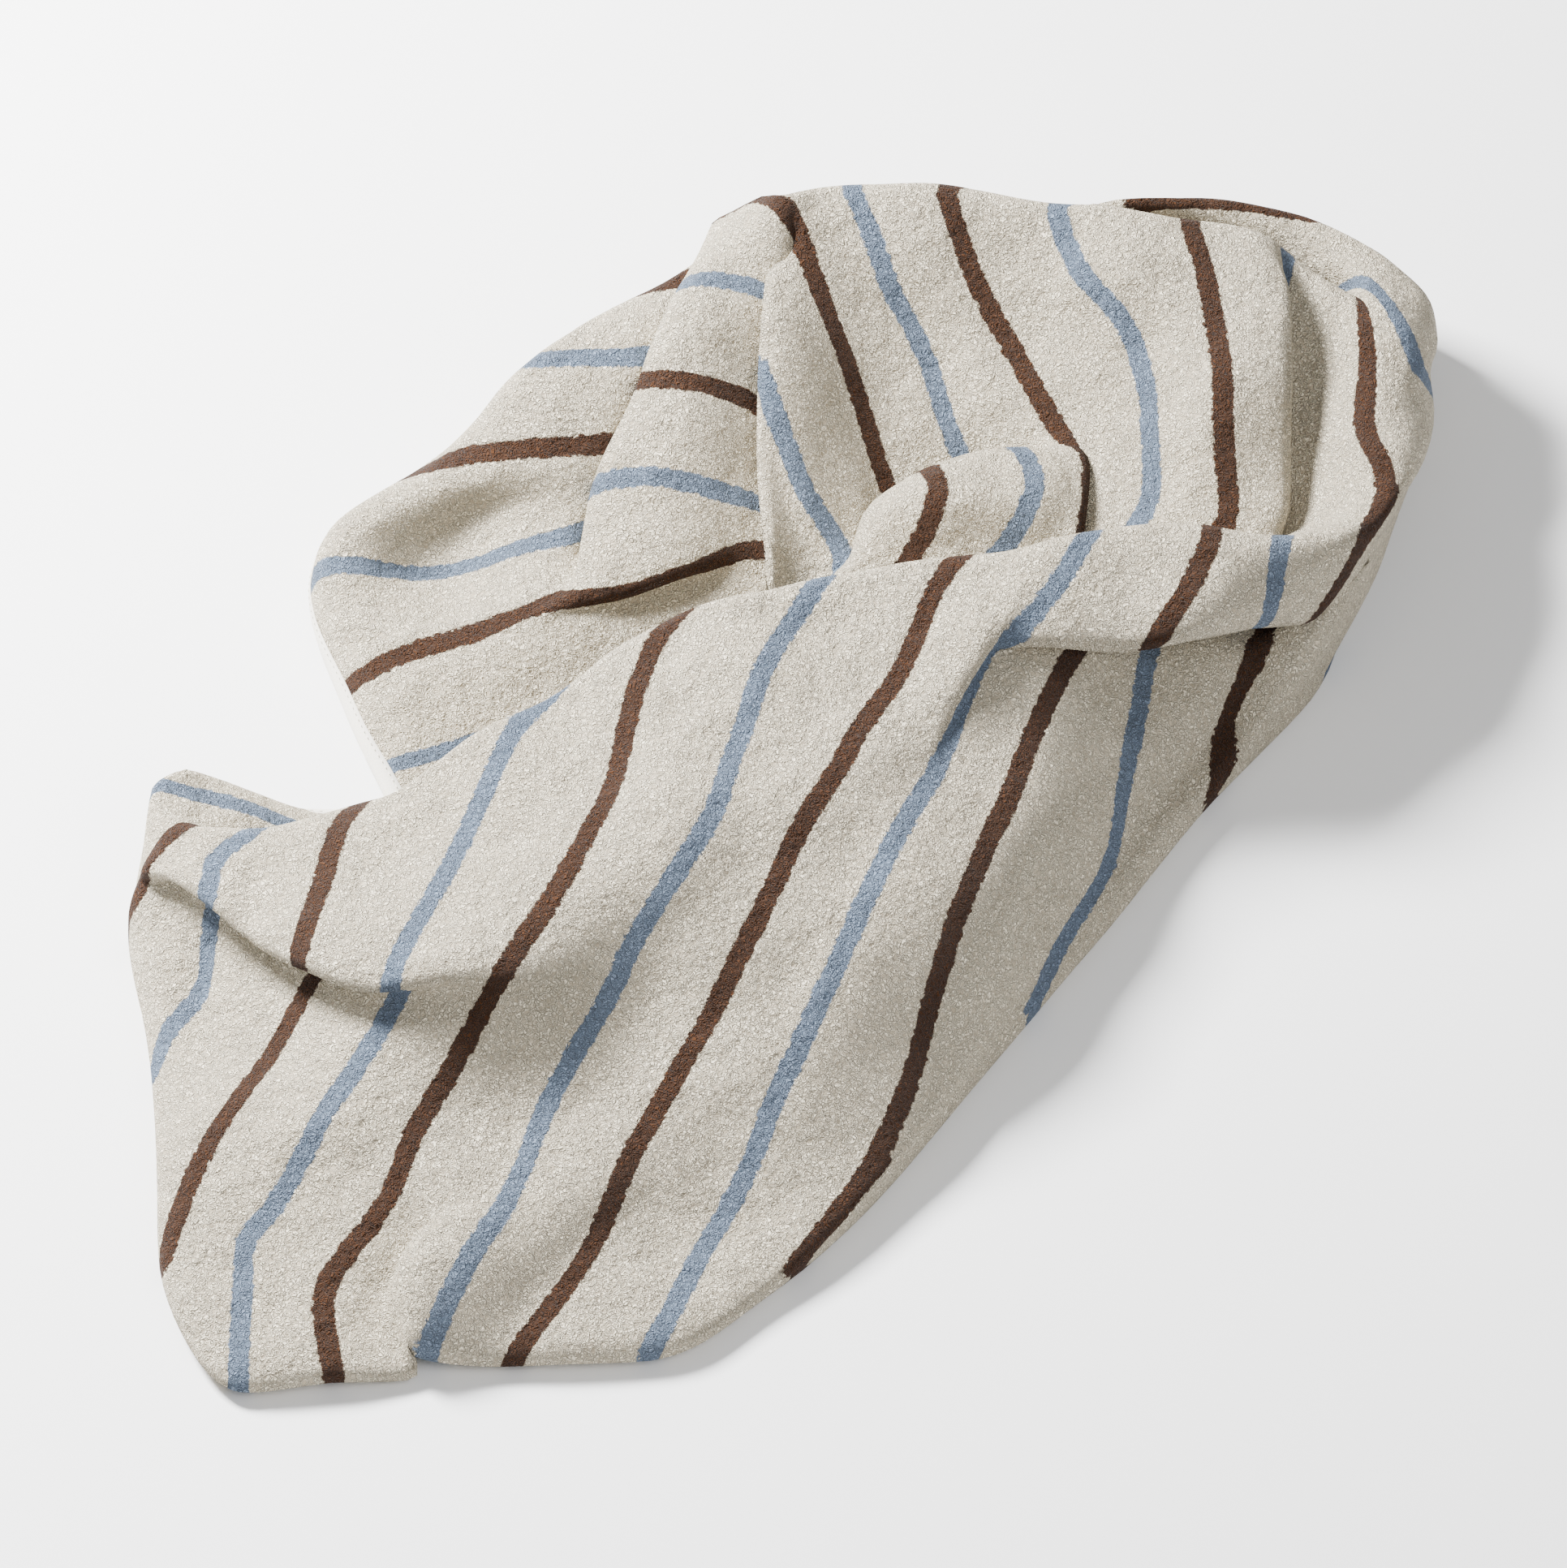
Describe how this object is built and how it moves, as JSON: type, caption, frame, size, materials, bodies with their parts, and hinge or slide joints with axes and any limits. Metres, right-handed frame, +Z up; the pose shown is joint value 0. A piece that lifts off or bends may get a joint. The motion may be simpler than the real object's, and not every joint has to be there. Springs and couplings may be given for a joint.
{
  "type": "hooded baby towel",
  "caption": "Striped terry towel with a sewn corner hood and bound edges, lying in a loose heap on a flat surface.",
  "frame": {"origin": "centre of the heap's footprint, on the surface that it lies on", "axes": "+Z up, +Y from the front of the heap towards the rear fold, +X right"},
  "size_m": [0.5, 0.5505, 0.09],
  "materials": {
    "body_terry": "cream looped cotton terry with woven brown and pale blue stripes",
    "hood_terry": "the same striped cotton terry as the body",
    "binding_tape": "smooth plain-woven cream cotton tape",
    "sewing_thread": "matte cream spun thread"
  },
  "bodies": {
    "root": {"towel_panel": "body_terry", "hood_panel": "hood_terry", "hood_binding": "binding_tape", "hood_stitching": "sewing_thread", "edge_binding": "binding_tape", "edge_stitching": "sewing_thread"}
  },
  "joints": []
}
